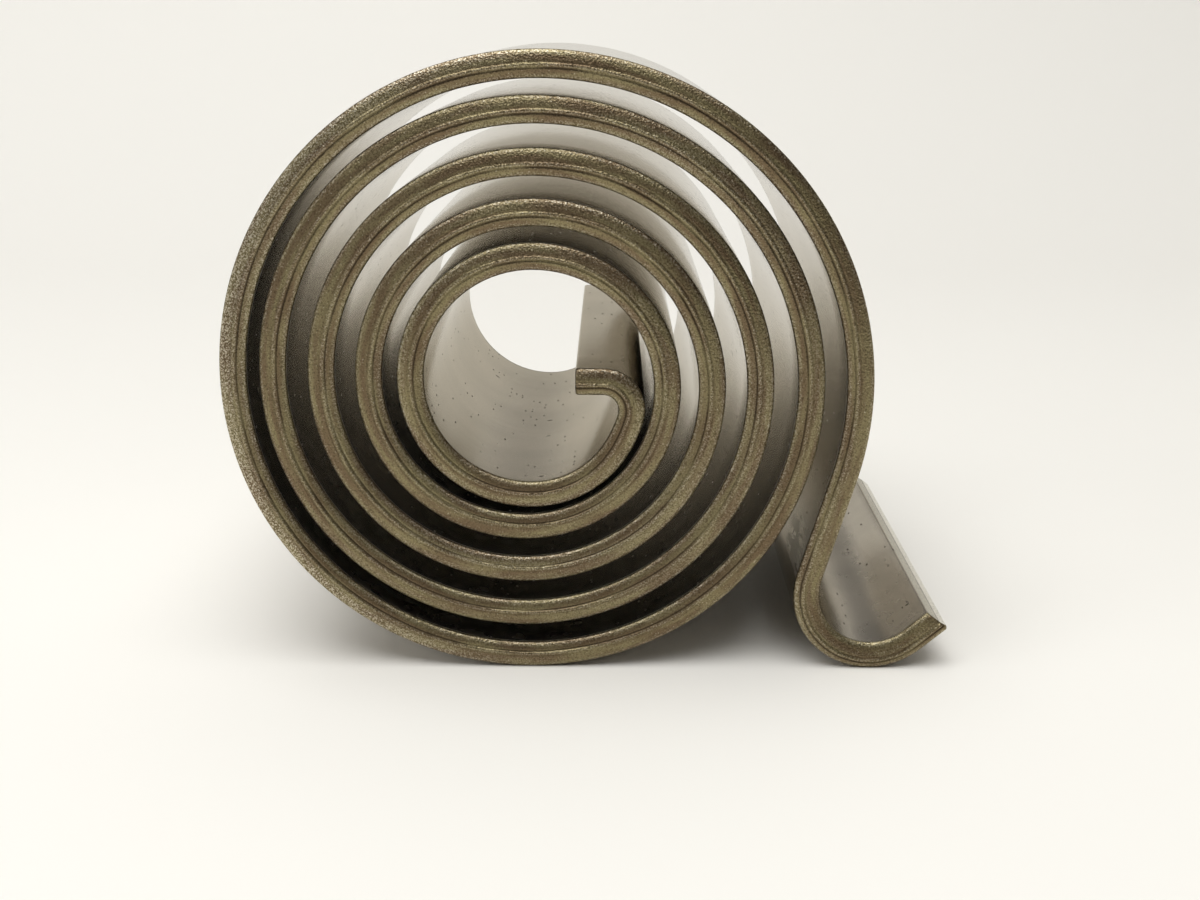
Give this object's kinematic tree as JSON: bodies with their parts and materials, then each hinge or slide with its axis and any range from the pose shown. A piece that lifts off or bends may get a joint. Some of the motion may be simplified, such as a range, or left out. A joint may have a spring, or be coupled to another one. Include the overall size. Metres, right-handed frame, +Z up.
{
  "type": "torsion spring",
  "caption": "Flat-strip spiral torsion spring with open turns, a bent tang across the bore at its inner end and an open hook at its outer end, for returning an arbor.",
  "frame": {"origin": "centre of the bore at half the strip's width, where the arbor's axis runs", "axes": "+Y along the coil's axis, away from the side the picture shows; +X towards the hook; +Z up as the spring rests on its coil and hook"},
  "size_m": [0.0879, 0.06, 0.0743],
  "materials": {
    "spring_steel": "satin rolled faces, browned grainy edges, bare cut end"
  },
  "bodies": {
    "root": {"spiral_spring": "spring_steel"}
  },
  "joints": []
}
